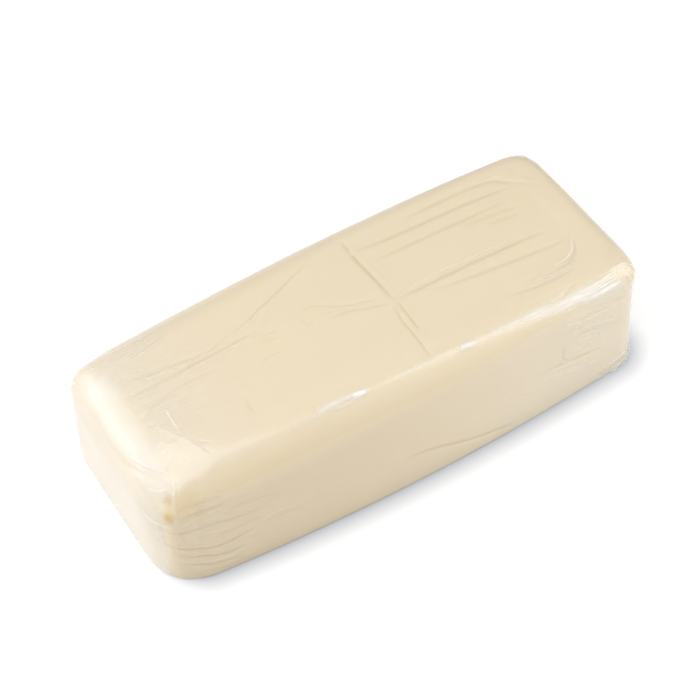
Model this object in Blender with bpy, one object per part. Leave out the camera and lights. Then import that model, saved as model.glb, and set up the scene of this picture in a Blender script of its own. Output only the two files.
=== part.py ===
"""A low-moisture mozzarella loaf in its clear shrink bag, as one closed solid.

The loaf is a long block with bowed sides, a narrower top and rounded top edges.
Relief on it is what the mould and the bag leave: a sunk ribbed panel on the top,
a transverse step, a shoulder under the left rim, folds of film and a low tail.

Metres, +Z up.  +X runs along the loaf to its right end, -Y is its front.
The origin is the middle of the base.
"""

import bmesh
import bpy
import numpy as np

MM = 0.001

# ---- driving dimensions ----------------------------------------------------
LENGTH = 274.5 * MM          # over the crowns of the two ends
END_SHIFT = 0.98 * MM        # both ends stand this far left of even, for the tail's sake
BASE_WIDTH = 123 * MM        # over the crowns of the long sides, at the base
TOP_WIDTH = 112 * MM         # the mould's draft makes the top narrower
HEIGHT = 69 * MM
LEFT_DROP = 3 * MM           # how far the top falls towards the left end

FRONT_BOW = 7.5 * MM         # how far the front falls back towards its ends
BACK_BOW_BASE = 6 * MM
BACK_BOW_TOP = 4.4 * MM
LEFT_BOW_BASE = 0.1 * MM     # how far the left end falls back towards its sides
LEFT_BOW_TOP = 3.4 * MM
RIGHT_BOW = 0.6 * MM
LEFT_LEAN = 1.6 * MM         # the left end leans out towards the top
RIGHT_LEAN = -0.6 * MM       # and the right end leans in
# radius of the upright corners
CORNER_LEFT_FRONT = 22 * MM
CORNER_LEFT_BACK = 18 * MM
CORNER_RIGHT = 12.5 * MM
BASE_RADIUS = 1.5 * MM       # edge round the base

# radius of the rounded top edge at the four corners: the left end is the softer one
FILLET_LEFT_FRONT = 25 * MM
FILLET_LEFT_BACK = 25.5 * MM
FILLET_RIGHT_FRONT = 13.5 * MM
FILLET_RIGHT_BACK = 9 * MM

# sunk panel on the right half of the top, with lengthwise grooves
PANEL_LEFT = 16.5 * MM
PANEL_RIGHT = 116 * MM
PANEL_FRONT = -33 * MM
PANEL_BACK = 38.5 * MM
PANEL_RADIUS = 16 * MM
PANEL_DEPTH = 0.6 * MM
PANEL_WALL = 3 * MM
GROOVES = (30.5 * MM, 21 * MM, -6 * MM, -13.5 * MM)
GROOVE_DEPTH = 0.5 * MM
GROOVE_HALF_WIDTH = 2.2 * MM

# shoulder line where the film bridges below the left end's rounded rim
SHOULDER_HEIGHT = 54 * MM
SHOULDER_DEPTH = 0.7 * MM
SHOULDER_HALF_WIDTH = 4 * MM

# crease low on the front, which climbs to the left
CREASE_START = -18 * MM
CREASE_END = 72 * MM
CREASE_HEIGHT_START = 21 * MM
CREASE_HEIGHT_END = 6 * MM
CREASE_DEPTH = 0.6 * MM
CREASE_HALF_WIDTH = 4 * MM

# fold of film that stands on each upright corner
FOLD_HEIGHT = 0.9 * MM
FOLD_HALF_WIDTH = 3.5 * MM
FOLD_REACH = 18 * MM         # arc of the corner over which it is placed

# ear of gathered film at the right end's two upper corners
EAR_REACH = 1.2 * MM
EAR_HEIGHT = 60 * MM
EAR_HALF_HEIGHT = 9 * MM

# tail of crumpled film tucked low round the right end
TAIL_REACH = 1.8 * MM
TAIL_HEIGHT = 11 * MM
TAIL_START = 98 * MM         # how far along the front it begins
TAIL_CRUMPLES = 9            # crumples along the tail

# ---- spacing of the mesh lines ---------------------------------------------
LINE_STEP_X = 7.5 * MM
LINE_STEP_Y = 8 * MM
EDGE_LINES = (2.5 * MM, 6.5 * MM, 11 * MM, 16 * MM, 21.5 * MM)
HEIGHT_LINES = (3, 6.5, 11, 16, 22, 28, 35, 40, 45, 50, 54, 58, 61, 63.5, 66.5)
CORE_MARGIN = 28 * MM        # inner box from which the cube's points are cast
CORE_BASE = 3 * MM
CAST_STEPS = 40
CAST_REACH = 60 * MM


# ---- small helpers ---------------------------------------------------------
def blend(a, b, t):
    return a + (b - a) * t


def ramp(low, high, value):
    """Smooth step from 0 at low to 1 at high."""
    t = np.clip((value - low) / (high - low), 0.0, 1.0)
    return t * t * (3.0 - 2.0 * t)


def bump(distance, half_width):
    """Rounded ridge: 1 in the middle, 0 at half_width and beyond."""
    t = np.clip(np.abs(distance) / half_width, 0.0, 1.0)
    return (1.0 - t * t) ** 2


def soft_corner(a, b, radius):
    """Larger of two distances, with the corner between them rounded."""
    width = 1.17 * radius
    overlap = np.maximum(width - np.abs(a - b), 0.0) / width
    return np.maximum(a, b) + overlap * overlap * width / 4.0


def round_edge(a, b, radius):
    """Distance to the edge of two faces, with a true radius between them."""
    outside = np.hypot(np.maximum(a + radius, 0.0), np.maximum(b + radius, 0.0))
    return np.minimum(np.maximum(a, b), -radius) + outside


# ---- the loaf --------------------------------------------------------------
def side_distance(p):
    """Signed distance from the upright sides: bowed, drafted, with round corners."""
    x, y, z = p[:, 0], p[:, 1], p[:, 2]
    up = np.clip(z / HEIGHT, 0.0, 1.0)
    side_bow = np.where(y < 0, FRONT_BOW, blend(BACK_BOW_BASE, BACK_BOW_TOP, up))
    half_width = blend(BASE_WIDTH, TOP_WIDTH, up) / 2 - side_bow * (2 * x / LENGTH) ** 2
    end_bow = np.where(x < 0, blend(LEFT_BOW_BASE, LEFT_BOW_TOP, up), RIGHT_BOW)
    lean = np.where(x < 0, LEFT_LEAN, RIGHT_LEAN) * (up - 0.5)
    half_length = LENGTH / 2 - END_SHIFT * np.sign(x) + lean - end_bow * (2 * y / BASE_WIDTH) ** 2
    left_radius = np.where(y < 0, CORNER_LEFT_FRONT, CORNER_LEFT_BACK)
    radius = blend(left_radius, CORNER_RIGHT, ramp(-LENGTH / 4, LENGTH / 4, x))
    return soft_corner(np.abs(x) - half_length, np.abs(y) - half_width, radius)


def top_height(x):
    """Height of the top, which falls gently towards the left end."""
    return HEIGHT - LEFT_DROP * np.clip(-2 * x / LENGTH, 0.0, 1.0) ** 2


def fillet_radius(x, y):
    """Radius of the rounded top edge, which changes from corner to corner."""
    along = ramp(-LENGTH / 2, LENGTH / 2, x)
    across = ramp(-BASE_WIDTH / 2, BASE_WIDTH / 2, y)
    front = blend(FILLET_LEFT_FRONT, FILLET_RIGHT_FRONT, along)
    back = blend(FILLET_LEFT_BACK, FILLET_RIGHT_BACK, along)
    return blend(front, back, across)


def skin_distance(p):
    """Signed distance from the smooth loaf, before any relief."""
    side = side_distance(p)
    top = round_edge(side, p[:, 2] - top_height(p[:, 0]), fillet_radius(p[:, 0], p[:, 1]))
    return round_edge(top, -p[:, 2], BASE_RADIUS)


def skin_normal(p):
    """Outward direction at each point of the skin."""
    step = 0.05 * MM
    slopes = []
    for axis in range(3):
        shift = np.zeros(3)
        shift[axis] = step
        slopes.append(skin_distance(p + shift) - skin_distance(p - shift))
    normal = np.stack(slopes, axis=1)
    return normal / np.linalg.norm(normal, axis=1)[:, None]


def cast_on_skin(points):
    """Send each point of the box straight out from an inner core onto the skin."""
    reach = np.array([LENGTH / 2, BASE_WIDTH / 2]) - CORE_MARGIN
    low = np.array([-reach[0], -reach[1], CORE_BASE])
    high = np.array([reach[0], reach[1], HEIGHT - CORE_MARGIN])
    core = np.clip(points, low, high)
    way = points - core
    way /= np.linalg.norm(way, axis=1)[:, None]
    near = np.zeros(len(points))
    far = np.full(len(points), CAST_REACH)
    for _ in range(CAST_STEPS):
        middle = (near + far) / 2
        outside = skin_distance(core + way * middle[:, None]) > 0
        far = np.where(outside, middle, far)
        near = np.where(outside, near, middle)
    return core + way * near[:, None]


# ---- relief, each as a height in metres ------------------------------------
def panel_relief(p):
    """Sunk panel with rounded right corners, and the grooves along it."""
    x, y = p[:, 0], p[:, 1]
    middle = (PANEL_FRONT + PANEL_BACK) / 2
    half = (PANEL_BACK - PANEL_FRONT) / 2
    outside = round_edge(x - PANEL_RIGHT, np.abs(y - middle) - half, PANEL_RADIUS)
    outside = np.maximum(outside, PANEL_LEFT - x)
    inside = ramp(PANEL_WALL / 2, -PANEL_WALL / 2, outside)
    grooves = sum(bump(y - line, GROOVE_HALF_WIDTH) for line in GROOVES)
    return -inside * (PANEL_DEPTH + GROOVE_DEPTH * grooves)


def shoulder_relief(p, normal):
    """Soft line round the left end, under its rounded rim."""
    on_end = ramp(0.3, 0.8, -normal[:, 0])
    return -SHOULDER_DEPTH * on_end * bump(p[:, 2] - SHOULDER_HEIGHT, SHOULDER_HALF_WIDTH)


def crease_relief(p, normal):
    """Crease low on the front."""
    x = p[:, 0]
    along = np.clip((x - CREASE_START) / (CREASE_END - CREASE_START), 0.0, 1.0)
    height = blend(CREASE_HEIGHT_START, CREASE_HEIGHT_END, along)
    fades = bump(along - 0.5, 0.5)
    on_front = ramp(0.5, 0.9, -normal[:, 1])
    return -CREASE_DEPTH * on_front * fades * bump(p[:, 2] - height, CREASE_HALF_WIDTH)


def corner_folds(p, normal):
    """Fold of film that stands on each upright corner, between base and rim."""
    off_corner = np.abs(np.abs(normal[:, 0]) - np.abs(normal[:, 1])) * FOLD_REACH
    upright = ramp(0.5, 0.2, np.abs(normal[:, 2]))
    return FOLD_HEIGHT * upright * bump(off_corner, FOLD_HALF_WIDTH)


def ear_relief(p, normal):
    """Gathered film that stands out at the right end's upper corners."""
    at_corner = ramp(0.15, 0.6, normal[:, 0]) * ramp(0.15, 0.6, np.abs(normal[:, 1]))
    return EAR_REACH * at_corner * bump(p[:, 2] - EAR_HEIGHT, EAR_HALF_HEIGHT)


def tail_relief(p, normal):
    """Crumpled film low on the right end, wrapping onto both long sides."""
    x, y, z = p[:, 0], p[:, 1], p[:, 2]
    wraps = ramp(TAIL_START, LENGTH / 2 - CORNER_RIGHT, x)
    low = ramp(TAIL_HEIGHT, TAIL_HEIGHT / 2, z)
    turns = (x + y) / (LENGTH - 2 * TAIL_START) * TAIL_CRUMPLES
    crumple = 0.7 + 0.3 * np.sin(turns * 2 * np.pi)
    level = ramp(0.95, 0.6, np.abs(normal[:, 2]))
    return TAIL_REACH * wraps * low * crumple * level


def add_relief(points):
    """Move the skin's points along its normal, and keep the base flat."""
    normal = skin_normal(points)
    on_top = ramp(0.85, 0.98, normal[:, 2])
    height = on_top * panel_relief(points)
    height += shoulder_relief(points, normal)
    height += crease_relief(points, normal)
    height += corner_folds(points, normal)
    height += ear_relief(points, normal)
    height += tail_relief(points, normal)
    flat = points[:, 2] < BASE_RADIUS
    moved = points + normal * height[:, None]
    moved[flat, 2] = points[flat, 2]
    moved[points[:, 2] < 0.01 * MM, 2] = 0.0
    return moved


# ---- the mesh --------------------------------------------------------------
def even_lines(low, high, step):
    count = int(round((high - low) / step))
    return [low + (high - low) * i / count for i in range(1, count)]


def lengthwise_lines():
    """Cuts across X: close together in the round ends and at the panel's walls."""
    ends = [LENGTH / 2 - inset for inset in EDGE_LINES]
    lines = ends + [-x for x in ends]
    lines += even_lines(-ends[-1], PANEL_LEFT - 2 * PANEL_WALL, LINE_STEP_X)
    lines += [PANEL_LEFT - PANEL_WALL, PANEL_LEFT - PANEL_WALL / 2]
    lines += [PANEL_LEFT + PANEL_WALL / 2, PANEL_LEFT + PANEL_WALL]
    lines += even_lines(PANEL_LEFT + 2 * PANEL_WALL, PANEL_RIGHT - 2 * PANEL_WALL, LINE_STEP_X)
    lines += [PANEL_RIGHT - PANEL_WALL, PANEL_RIGHT]
    return lines


def crosswise_lines():
    """Cuts across Y: three to each groove, and close together in the round edges."""
    edges = [BASE_WIDTH / 2 - inset for inset in EDGE_LINES]
    lines = edges + [-y for y in edges]
    for line in GROOVES:
        lines += [line - GROOVE_HALF_WIDTH, line, line + GROOVE_HALF_WIDTH]
    lines += [PANEL_FRONT - PANEL_WALL / 2, PANEL_FRONT + PANEL_WALL / 2]
    lines += [PANEL_BACK - PANEL_WALL / 2, PANEL_BACK + PANEL_WALL / 2]
    lines += even_lines(GROOVES[2] + LINE_STEP_Y / 2, GROOVES[1] - LINE_STEP_Y / 2, LINE_STEP_Y)
    lines += even_lines(PANEL_FRONT, GROOVES[3], LINE_STEP_Y)
    return lines


def cut_box():
    """A box of the loaf's size, cut into a grid by planes at the chosen lines."""
    grid = bmesh.new()
    bmesh.ops.create_cube(grid, size=1.0)
    for vert in grid.verts:
        vert.co.x *= LENGTH
        vert.co.y *= BASE_WIDTH
        vert.co.z = (vert.co.z + 0.5) * HEIGHT
    cuts = [(0, x) for x in lengthwise_lines()]
    cuts += [(1, y) for y in crosswise_lines()]
    cuts += [(2, z * MM) for z in HEIGHT_LINES]
    for axis, place in cuts:
        point = [0.0, 0.0, 0.0]
        normal = [0.0, 0.0, 0.0]
        point[axis] = place
        normal[axis] = 1.0
        everything = grid.verts[:] + grid.edges[:] + grid.faces[:]
        bmesh.ops.bisect_plane(grid, geom=everything, plane_co=point, plane_no=normal, dist=1e-7)
    return grid


def join_base(grid):
    """Make the level faces of the base one flat face, fanned out from its middle."""
    level = [face for face in grid.faces if all(vert.co.z == 0.0 for vert in face.verts)]
    joined = bmesh.ops.dissolve_faces(grid, faces=level, use_verts=False)["region"]
    bmesh.ops.poke(grid, faces=joined, center_mode="MEAN_WEIGHTED")


def packed_loaf():
    grid = cut_box()
    points = np.array([vert.co[:] for vert in grid.verts])
    points = add_relief(cast_on_skin(points))
    for vert, place in zip(grid.verts, points):
        vert.co = place
    join_base(grid)
    bmesh.ops.recalc_face_normals(grid, faces=grid.faces[:])
    return grid


def film_on_cheese():
    """Cream mozzarella seen through clear, glossy shrink film."""
    material = bpy.data.materials.new("mozzarella_in_shrink_film")
    material.use_nodes = True
    shader = material.node_tree.nodes["Principled BSDF"]
    shader.inputs["Base Color"].default_value = (0.82, 0.71, 0.53, 1.0)
    shader.inputs["Roughness"].default_value = 0.3
    shader.inputs["Metallic"].default_value = 0.0
    return material


def add_object(name, grid, material):
    mesh = bpy.data.meshes.new(name)
    grid.to_mesh(mesh)
    grid.free()
    mesh.shade_smooth()
    mesh.materials.append(material)
    item = bpy.data.objects.new(name, mesh)
    bpy.context.collection.objects.link(item)
    return item


def main():
    for item in list(bpy.data.objects):
        bpy.data.objects.remove(item, do_unlink=True)
    add_object("mozzarella_pack", packed_loaf(), film_on_cheese())


main()
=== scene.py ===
"""A low-moisture mozzarella loaf in clear shrink film, on a pale floor.

The cheese is one mesh and the film another, a fraction of a millimetre outside it.
Both are cut from one box, cast onto the loaf's smooth form and then moved along its
normal: by what is pressed into the cheese, and on the film also by what stands off it.
"""

import math

import bmesh
import bpy
import numpy as np
from mathutils import Matrix, Vector, noise

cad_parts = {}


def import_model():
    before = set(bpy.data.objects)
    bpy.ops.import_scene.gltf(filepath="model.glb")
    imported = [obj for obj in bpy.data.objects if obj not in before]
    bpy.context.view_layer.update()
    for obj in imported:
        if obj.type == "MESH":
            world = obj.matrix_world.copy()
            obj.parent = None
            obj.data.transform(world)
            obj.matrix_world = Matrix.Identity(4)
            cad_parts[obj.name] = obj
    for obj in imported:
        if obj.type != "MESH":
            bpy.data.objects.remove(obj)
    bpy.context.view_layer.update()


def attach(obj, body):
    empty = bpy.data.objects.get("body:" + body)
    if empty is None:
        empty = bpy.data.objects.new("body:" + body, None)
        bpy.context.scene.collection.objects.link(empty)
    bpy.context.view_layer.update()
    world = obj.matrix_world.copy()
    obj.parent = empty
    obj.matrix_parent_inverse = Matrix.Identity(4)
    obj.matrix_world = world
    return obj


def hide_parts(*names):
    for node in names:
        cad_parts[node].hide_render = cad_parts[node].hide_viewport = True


MM = 0.001

# ---- the loaf's form, as in the part ---------------------------------------
LENGTH = 274.5 * MM
END_SHIFT = 0.98 * MM
BASE_WIDTH = 123 * MM
TOP_WIDTH = 112 * MM
HEIGHT = 69 * MM
LEFT_DROP = 3 * MM
FRONT_BOW = 7.5 * MM
BACK_BOW_BASE = 6 * MM
BACK_BOW_TOP = 4.4 * MM
LEFT_BOW_BASE = 0.1 * MM
LEFT_BOW_TOP = 3.4 * MM
RIGHT_BOW = 0.6 * MM
LEFT_LEAN = 1.6 * MM
RIGHT_LEAN = -0.6 * MM
CORNER_LEFT_FRONT = 22 * MM
CORNER_LEFT_BACK = 18 * MM
CORNER_RIGHT = 12.5 * MM
BASE_RADIUS = 1.5 * MM
FILLET_LEFT_FRONT = 25 * MM
FILLET_LEFT_BACK = 25.5 * MM
FILLET_RIGHT_FRONT = 13.5 * MM
FILLET_RIGHT_BACK = 9 * MM

PANEL_LEFT = 16.5 * MM
PANEL_RIGHT = 116 * MM
PANEL_FRONT = -33 * MM
PANEL_BACK = 38.5 * MM
PANEL_RADIUS = 16 * MM
PANEL_DEPTH = 0.5 * MM
PANEL_WALL = 9 * MM          # softened, as the film bridges the panel's edge

EAR_REACH = 1.2 * MM
EAR_HEIGHT = 60 * MM
EAR_HALF_HEIGHT = 9 * MM
TAIL_REACH = 1.8 * MM
TAIL_HEIGHT = 11 * MM
TAIL_START = 98 * MM
TAIL_CRUMPLES = 9

# ---- mesh ------------------------------------------------------------------
# coarse cuts, each split again into SPLITS + 1 rows
SPLITS = 3
END_STEP = 3.7 * MM          # lengthwise, near the two crinkled ends
MIDDLE_STEP = 8.5 * MM       # folds run along the loaf here, so it is finer across
STEP_ZONE = (7 * MM, 23 * MM)  # but for the transverse step at the panel's left
CROSS_STEP = 3.35 * MM
HEIGHT_STEP = 3.0 * MM
END_ZONE = 85 * MM
CORE_MARGIN = 28 * MM
CORE_BASE = 3 * MM
CAST_STEPS = 30
CAST_REACH = 60 * MM
SLOPE_STEP = 0.05 * MM       # over which the skin's slope is measured
SOFT_CORNER = 1.17           # how wide a soft corner blends, in radii
FAR = 1.0                    # in m, further than any two points are apart
FILM_GAP = 0.25 * MM         # from the cheese to the film that clings to it
FILM_NEAREST = FILM_GAP / 2  # the nearest that it comes to the cheese
CHEESE_BASE = 0.1 * MM       # the cheese's base, over the film's
BASE_TOUCH = 0.01 * MM       # skin lower than this is base
LEVEL_SLACK = 1e-6           # m, within which a vertex lies on the base
CUT_SLACK = 1e-7             # m, within which a cut goes through a vertex
PATH_STEP = 2 * MM           # between the points of a smoothed path
LEAST_WIDTH = 1.9            # half width in mm of the narrowest line in the mesh
MARK_REACH = 2.3 * MM        # how far from a line its mark for the shaders goes
MARK_HOLD = 0.6              # the part of that reach where the mark is whole
MARK_WIDTH = 0.6             # the sharp line's width, as a part of the relief's
MARK_FULL = 0.45             # height in mm at which the mark is at full strength
MARKS_APART = (0.9 * MM, 1.8 * MM)  # between two lines, from no mark to a whole one

# ---- folds, in mm: half width, height (a groove is negative), then the path ---
# pressed through the film into the cheese by the mould and the wrapping
PANEL_LINES = (
    (2.6, -0.36, ((15, 42, 69), (15, 24, 69), (16, 8, 69), (16, -5, 69))),
    (1.9, -0.3, ((17, -6.5, 68), (16.5, -17, 68.5), (16, -29, 69))),
    (1.9, -0.3, ((14.5, -8, 69), (12, -18.5, 69), (12, -26.5, 69), (11.5, -36, 69), (11, -46, 67))),
    (2.6, -0.38, ((16, -6, 69), (43, -5, 68), (79, -5, 68), (107, -6, 68))),
    (2.9, -0.26, ((34, -10, 68), (61, -13, 68), (84, -15, 68), (114, -17, 68))),
    (2.6, -0.3, ((15, 32, 69), (43, 31, 68), (80, 31, 68), (112, 29, 68))),
    (2.9, -0.26, ((23, 22, 68), (55, 22, 68), (101, 22, 68))),
    (3.2, -0.17, ((72, 18, 68), (88, 17.5, 68), (106, 15, 68))),
    (3.2, -0.17, ((84, 13, 68), (104, 10.5, 68))),
    (2.6, -0.3, ((48, 38, 69), (73, 39, 69), (100, 38, 69), (109, 33, 69), (121, 23, 69))),
    (2.1, -0.26, ((114, -18.5, 68.5), (109, -26, 68.5), (101.5, -30.5, 68.5), (93, -31, 68.5))),
    (2.2, -0.26, ((63, -33, 68.5), (82.5, -35.5, 69), (103, -35.5, 68.5))),
    (1.9, -0.17, ((82, -47.5, 66), (89, -45.5, 67.5), (97, -43, 68))),
)
LEFT_LINES = (
    (2, -0.22, ((14.5, -6.5, 69), (3.5, -3.5, 69), (-6, -0.5, 69), (-16.5, 0.5, 69))),
    (2, -0.18, ((12, -2.5, 69), (3.5, 1, 69), (-6, 3.5, 69), (-20.5, 12, 69), (-27.5, 9.5, 69))),
    (2, -0.28, ((-6, 38, 69), (-19, 33, 69), (-35.5, 26.5, 69), (-52, 20, 68.5), (-62, 17, 68.5))),
    (2.2, -0.24, ((-62, 17, 68), (-77, 14, 68), (-95, 16, 68), (-111, 18, 67), (-120, 23, 66))),
    (2.2, -0.28, ((-48, 13, 69), (-63, 12, 68), (-81, 11, 68),
                 (-100, 10, 67), (-116, 10, 67), (-124, 12, 64))),
    (2.6, -0.2, ((-75, 2, 68), (-91, 3, 68), (-105, 1, 67), (-118, -4, 66), (-124, -6, 64))),
    (1.4, -0.16, ((-41.5, 15.5, 68.5), (-53.5, 12, 68.5))),
    (1.4, -0.16, ((-40, 7.5, 68.5), (-49, 8.5, 68.5))),
    (1.4, -0.16, ((-42.5, 3.5, 68.5), (-53, 5.5, 68.5))),
    (1.7, -0.12, ((-44, -4.5, 68.5), (-52, -4, 68.5), (-59, -7.5, 68.5))),
    (1.4, -0.24, ((-86.5, 41, 65.5), (-95.5, 38.5, 66), (-103, 36, 66), (-111, 34.5, 65.5))),
    (1.4, -0.2, ((-85, 35.5, 67), (-93.5, 33.5, 67), (-101.5, 32, 67), (-109, 30.5, 66.5))),
    (1.7, -0.2, ((-74, -20, 68), (-75.5, -24.5, 68), (-75, -31, 68))),
)
RIM_LINES = (
    (3.1, -0.24, ((-134, 30, 54), (-135, 14, 53), (-136, 0, 52), (-135, -11, 53),
                 (-133, -21, 56), (-129, -31, 58), (-126, -36, 59))),
    (1.2, -0.17, ((-131.5, -18, 58), (-129, -26.5, 59.5), (-122, -33, 61.5))),
    (1.2, -0.14, ((-105.5, -28.5, 66.5), (-98.5, -34.5, 66.5))),
    (1.2, -0.14, ((-105, -32.5, 66), (-102, -38, 65))),
)
CORNER_LINES = (
    (1.6, -0.36, ((-126.5, -48, 45), (-117, -51.5, 46.5), (-105.5, -53, 47))),
    (1.6, -0.27, ((-124.5, -46.5, 50.5), (-116, -50, 51), (-105.5, -51.5, 50.5))),
    (1.7, -0.32, ((-136.5, -35.5, 33), (-133, -43, 35), (-127.5, -48, 36),
                 (-116, -53, 36), (-99.5, -55, 34), (-88, -55.5, 34))),
    (1.7, -0.41, ((-136.5, -36, 27), (-134, -41.5, 25.5), (-131, -47, 25.5), (-124, -51.5, 23.5),
                 (-113, -54.5, 20), (-100.5, -56, 20.5), (-89, -56.5, 23))),
    (1.6, -0.41, ((-131.5, -47, 22.5), (-125.5, -51, 18.5), (-118.5, -54, 16),
                 (-109, -56, 12.5), (-96.5, -57, 12))),
    (1.6, -0.32, ((-130, -49, 15), (-123.5, -52.5, 11.5), (-112, -56, 7.5), (-99.5, -57, 6))),
    (1.7, -0.23, ((-116, -53.5, 27.5), (-102.5, -55, 27), (-88.5, -56, 28))),
    (1.7, -0.23, ((-106, -53.5, 42), (-93.5, -55, 41), (-78.5, -56, 39.5))),
    (1.7, -0.18, ((-92.5, -56, 24), (-80, -57, 23), (-69.5, -58, 22.5))),
)
FRONT_LINES = (
    (2.2, -0.36, ((-13, -60, 21), (2, -60, 19), (26, -60, 11), (44, -60, 7), (56, -60, 4))),
    (1.8, -0.3, ((96, -53, 57), (106, -52.5, 55), (125.5, -51, 49))),
    (1.8, -0.3, ((90.5, -55, 43.5), (104, -54, 40), (121, -53, 34.5))),
    (1.5, -0.4, ((82, -55.5, 42.5), (84.5, -55.5, 37), (83, -56, 33.5), (87.5, -56.5, 27))),
    (2, -0.35, ((68.5, -57, 30.5), (91.5, -56, 26.5), (110, -55, 23.5))),
    (1.4, -0.4, ((108, -57, 5), (114, -57, 2), (121, -56, 5), (127, -54, 2.5), (132, -49, 3))),
)
# folds that stand on the film alone
PANEL_FOLDS = (
    (1.4, 0.16, ((74.5, 41.5, 69), (92.5, 40.5, 69), (108, 39.5, 69))),
    (1.3, 0.12, ((108, 36.5, 68.5), (117.5, 32, 69), (121.5, 27, 69))),
    (1.3, 0.12, ((113.5, 39.5, 69), (125, 37, 69))),
    (2.2, 0.48, ((113, -17, 68.5), (109, -24, 68.5), (102.5, -27.5, 68.5), (94, -28.5, 68.5))),
    (2, 0.4, ((73.5, -31, 68.5), (86, -32.5, 68.5), (97, -33, 68.5), (106, -31, 68.5))),
    (1.8, 0.18, ((19, -2.8, 69), (45, -2, 68), (79, -2.5, 68), (104, -3.5, 68))),
    (1.8, 0.13, ((26, -7.5, 69), (50, -8, 68), (84, -8.5, 68))),
    (1.4, 0.18, ((81, -45.5, 67), (88, -43.5, 68), (94, -42.5, 68))),
)
LEFT_FOLDS = (
    (1.3, 0.17, ((13, -5, 69), (3, -1.5, 69), (-6, 1.5, 69), (-18, 4.5, 69))),
    (1.2, 0.14, ((-28.5, 7, 69), (-27, 0.5, 69))),
    (1.4, 0.17, ((-28, 26, 69), (-41, 22.5, 68.5), (-52.5, 17.5, 68.5), (-62.5, 13.5, 68.5))),
    (1.6, 0.21, ((-54.5, 15.5, 68.5), (-77, 14, 68), (-98, 13.5, 67.5), (-115, 16.5, 67))),
    (1.6, 0.17, ((-48, 10, 68.5), (-63, 9.5, 68.5), (-82.5, 9, 68), (-101.5, 8, 67.5))),
    (1.6, 0.24, ((-84.5, 38.5, 66.5), (-93.5, 37.5, 66.5), (-101.5, 35, 66.5), (-112, 32.5, 66))),
)
RIM_FOLDS = (
    (2, 0.15, ((-132, -14.5, 58), (-129, -24.5, 60), (-122.5, -34, 61))),
    (1.4, 0.12, ((-132.5, -32, 53.5), (-129, -37, 55), (-125.5, -39, 57))),
    (2.1, 0.3, ((-108, -5, 67), (-109, -13, 67), (-109, -21, 67))),
    (1.3, 0.23, ((-117.5, -11, 66.5), (-113, -19, 66.5), (-109.5, -25, 66.5),
                 (-106, -32, 66), (-102, -37, 65.5))),
    (1.3, 0.1, ((-119, -27.5, 64.5), (-115, -32, 64.5), (-113.5, -36, 63.5))),
    (1.3, 0.1, ((-119.5, -19, 65.5), (-116, -24.5, 65.5))),
    (1.3, 0.1, ((-121, -24, 64.5), (-117.5, -29, 64.5))),
)
CORNER_FOLDS = (
    (1.2, 0.3, ((-122.5, -36.5, 60), (-123, -40, 58), (-125, -43.5, 53.5),
                 (-126.5, -46.5, 48.5), (-127, -48, 39))),
    (1.1, 0.15, ((-127, -48, 41), (-128, -49, 23), (-129.5, -50, 6))),
    (1.4, 0.11, ((-125.5, -47, 48.5), (-122.5, -47, 51.5))),
    (1.9, 0.17, ((-137.5, -31, 41), (-135.5, -37, 39), (-133, -42, 38.5),
                 (-127, -48, 41.5), (-117.5, -52, 44), (-104.5, -53, 46.5))),
    (1.5, 0.11, ((-136, -36.5, 30), (-132.5, -44, 31.5), (-126.5, -49.5, 32),
                 (-116.5, -53, 32), (-99.5, -55, 31), (-88.5, -56, 30.5))),
    (1.5, 0.17, ((-132, -45.5, 25), (-128, -49, 22.5), (-120.5, -53, 19),
                 (-111, -55.5, 16), (-98.5, -56.5, 16.5), (-88, -57, 18.5))),
    (1.5, 0.15, ((-130, -48, 19.5), (-125, -51.5, 15.5), (-118.5, -54, 13),
                 (-109.5, -56, 9.5), (-96.5, -57, 9))),
    (1.5, 0.11, ((-129, -49.5, 13), (-121.5, -53.5, 8.5), (-111.5, -56, 5))),
    (1.6, 0.1, ((-116, -53, 37), (-99, -54.5, 35.5), (-81.5, -56, 35.5))),
    (1.6, 0.08, ((-92.5, -56, 28), (-79.5, -57, 26.5), (-68, -57.5, 25.5))),
)
FRONT_FOLDS = (
    (1.8, 0.21, ((96, -48, 65.5), (106, -47, 65.5), (114.5, -46, 66), (122.5, -46, 64.5))),
    (1.8, 0.21, ((98.5, -50, 63), (108.5, -49, 63.5), (117.5, -48, 63.5), (123, -48, 62.5))),
    (1.8, 0.21, ((106.5, -50.5, 61.5), (115, -50, 61), (122.5, -49.5, 60.5))),
    (1.8, 0.21, ((120.5, -44.5, 66.5), (127, -45, 64), (130.5, -48.5, 59.5),
                 (128.5, -49.5, 52.5), (122, -51, 53.5))),
    (1.6, 0.33, ((109, -45.3, 66.6), (117.5, -44, 66.8), (124, -43, 66.3),
                 (129.5, -43.5, 64), (132.5, -46, 59.5), (131.5, -48, 54))),
    (1.4, 0.27, ((121, -47.2, 63.6), (125, -48, 61.8), (126.5, -49.3, 58), (125, -50.5, 54.5))),
    (1.9, 0.17, ((80, -54, 57), (93, -54, 52), (106.5, -53, 50.5), (121, -52, 48))),
    (1.9, 0.17, ((87, -54.5, 48.5), (100, -54, 45.5), (122.5, -52.5, 37))),
    (1.9, 0.17, ((92.5, -55, 40.5), (109, -54, 33.5))),
    (1.8, 0.13, ((86.5, -55.5, 37), (101, -55, 31), (113, -54, 28))),
    (2.1, 0.13, ((69, -57.5, 26), (95, -56.5, 20), (111.5, -55, 17))),
    (2.1, 0.12, ((50, -58.5, 25.5), (64, -58, 21.5))),
    (1.4, 0.3, ((106, -57, 2), (113, -57, 4), (119, -56.5, 2.5), (126, -54, 5), (133, -47, 5))),
    (1.4, 0.24, ((110, -57, 7), (118, -56, 8.5), (126, -54, 9.5), (132, -49, 10))),
)
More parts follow.
